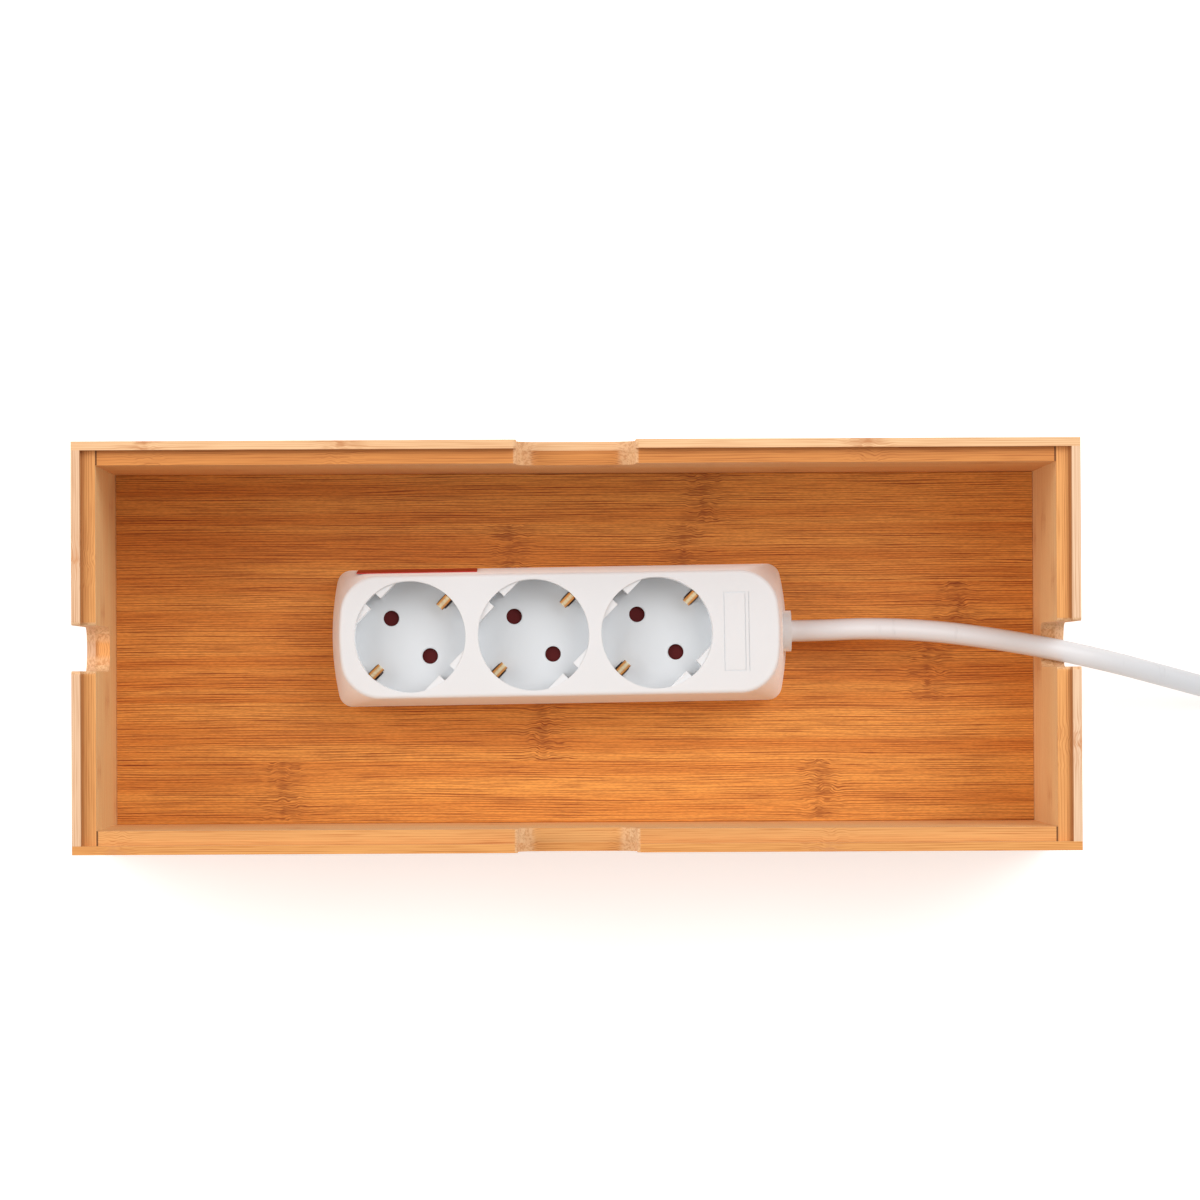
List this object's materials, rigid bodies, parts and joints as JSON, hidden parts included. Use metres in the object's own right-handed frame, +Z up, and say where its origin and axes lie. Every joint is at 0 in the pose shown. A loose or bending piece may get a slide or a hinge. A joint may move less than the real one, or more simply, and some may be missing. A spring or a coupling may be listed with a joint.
{
  "type": "cable management box",
  "caption": "Open rectangular bamboo box with end notches and finger scoops, holding a mains socket strip whose lead leaves through one end notch.",
  "frame": {"origin": "centre of the box's footprint, at the underside of the feet", "axes": "+X along the box's long side towards the strip's lead, +Y towards the back wall, +Z up"},
  "size_m": [0.5573, 0.14, 0.115],
  "materials": {
    "bamboo_wall": "bamboo, clear satin varnish, grain along X",
    "bamboo_end": "bamboo, clear satin varnish, grain along Y",
    "bamboo_floor": "bamboo, clear satin varnish, grain along X",
    "foot_rubber": "matt",
    "white_shell": "moulded, satin to gloss",
    "brass": "stamped",
    "copper_clip": "stamped bronze, bright",
    "shutter_maroon": "moulded",
    "spring_steel": "bright wire and sheet",
    "screw_steel": "zinc plated",
    "white_cord": "soft PVC, satin",
    "wire_brown": "soft PVC",
    "wire_blue": "soft PVC",
    "wire_green_yellow": "soft PVC, green and yellow stripes",
    "red_label": "plain printed label",
    "white_plug": "moulded soft plastic",
    "plug_nickel": "nickel plated"
  },
  "bodies": {
    "box": {"front_wall": "bamboo_wall", "back_wall": "bamboo_wall", "left_end_wall": "bamboo_end", "right_end_wall": "bamboo_end", "floor_panel": "bamboo_floor", "foot_pads": "foot_rubber", "cord_run": "white_cord", "cord_coil": "white_cord", "cord_tail": "white_cord", "plug_body": "white_plug", "plug_boot": "white_plug", "plug_pins": "plug_nickel", "plug_earth_contacts": "plug_nickel"},
    "power_strip": {"strip_top_shell": "white_shell", "strip_base_shell": "white_shell", "phase_rail": "brass", "neutral_rail": "brass", "earth_rail": "brass", "phase_contacts": "brass", "neutral_contacts": "brass", "earth_clip_1": "copper_clip", "earth_clip_2": "copper_clip", "earth_clip_3": "copper_clip", "shutter_spring_1": "spring_steel", "shutter_spring_2": "spring_steel", "shutter_spring_3": "spring_steel", "shutter_washer_1": "spring_steel", "shutter_washer_2": "spring_steel", "shutter_washer_3": "spring_steel", "cord_bush": "white_cord", "cord_stub": "white_cord", "cord_clamp": "white_shell", "clamp_screws": "screw_steel", "shell_screws": "screw_steel", "phase_wire": "wire_brown", "neutral_wire": "wire_blue", "earth_wire": "wire_green_yellow", "side_label": "red_label"},
    "shutter_1": {"shutter_1": "shutter_maroon"},
    "shutter_2": {"shutter_2": "shutter_maroon"},
    "shutter_3": {"shutter_3": "shutter_maroon"}
  },
  "joints": [
    {"name": "strip_lift", "type": "slide", "parent": "box", "child": "power_strip", "axis": [0, 0, 1], "range_m": [0, 0.11]},
    {"name": "shutter_1_turn", "type": "hinge", "parent": "power_strip", "child": "shutter_1", "pos_m": [-0.0579, 0.00387, 0.027], "axis": [0, 0, 1], "range_deg": [0, 38], "stiffness_Nm_per_rad": 0.003},
    {"name": "shutter_2_turn", "type": "hinge", "parent": "power_strip", "child": "shutter_2", "pos_m": [-0.0147, 0.00439, 0.027], "axis": [0, 0, 1], "range_deg": [0, 38], "stiffness_Nm_per_rad": 0.003},
    {"name": "shutter_3_turn", "type": "hinge", "parent": "power_strip", "child": "shutter_3", "pos_m": [0.0285, 0.00491, 0.027], "axis": [0, 0, 1], "range_deg": [0, 38], "stiffness_Nm_per_rad": 0.003}
  ]
}
